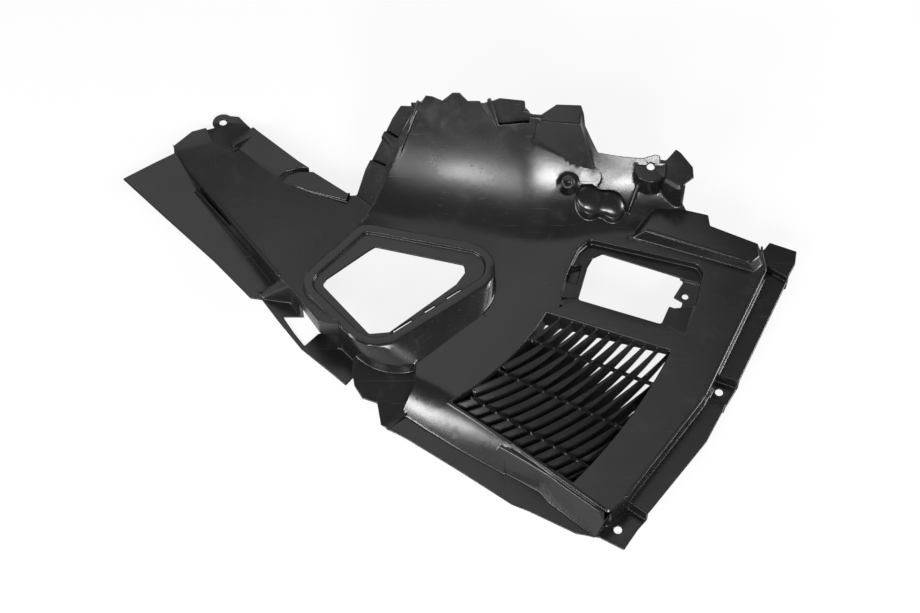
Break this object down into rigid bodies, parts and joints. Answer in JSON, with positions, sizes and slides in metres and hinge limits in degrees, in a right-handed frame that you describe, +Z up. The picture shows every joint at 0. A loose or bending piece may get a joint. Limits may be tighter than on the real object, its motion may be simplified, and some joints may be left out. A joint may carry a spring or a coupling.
{
  "type": "wheel arch liner",
  "caption": "Moulded plastic wheel arch liner with a bowl-shaped back, collared opening, recessed opening, curved louvre grille, side arm and screw tabs.",
  "frame": {"origin": "on the floor under the middle of the panel's outline", "axes": "+X along the panel's length towards the flange with the screw tabs, +Y towards the bowl, +Z up out of the seen side"},
  "size_m": [0.704, 0.5195, 0.1388],
  "materials": {
    "black_polypropylene": "fine moulded grain, semi-matte black"
  },
  "bodies": {
    "root": {"liner_panel": "black_polypropylene"}
  },
  "joints": []
}
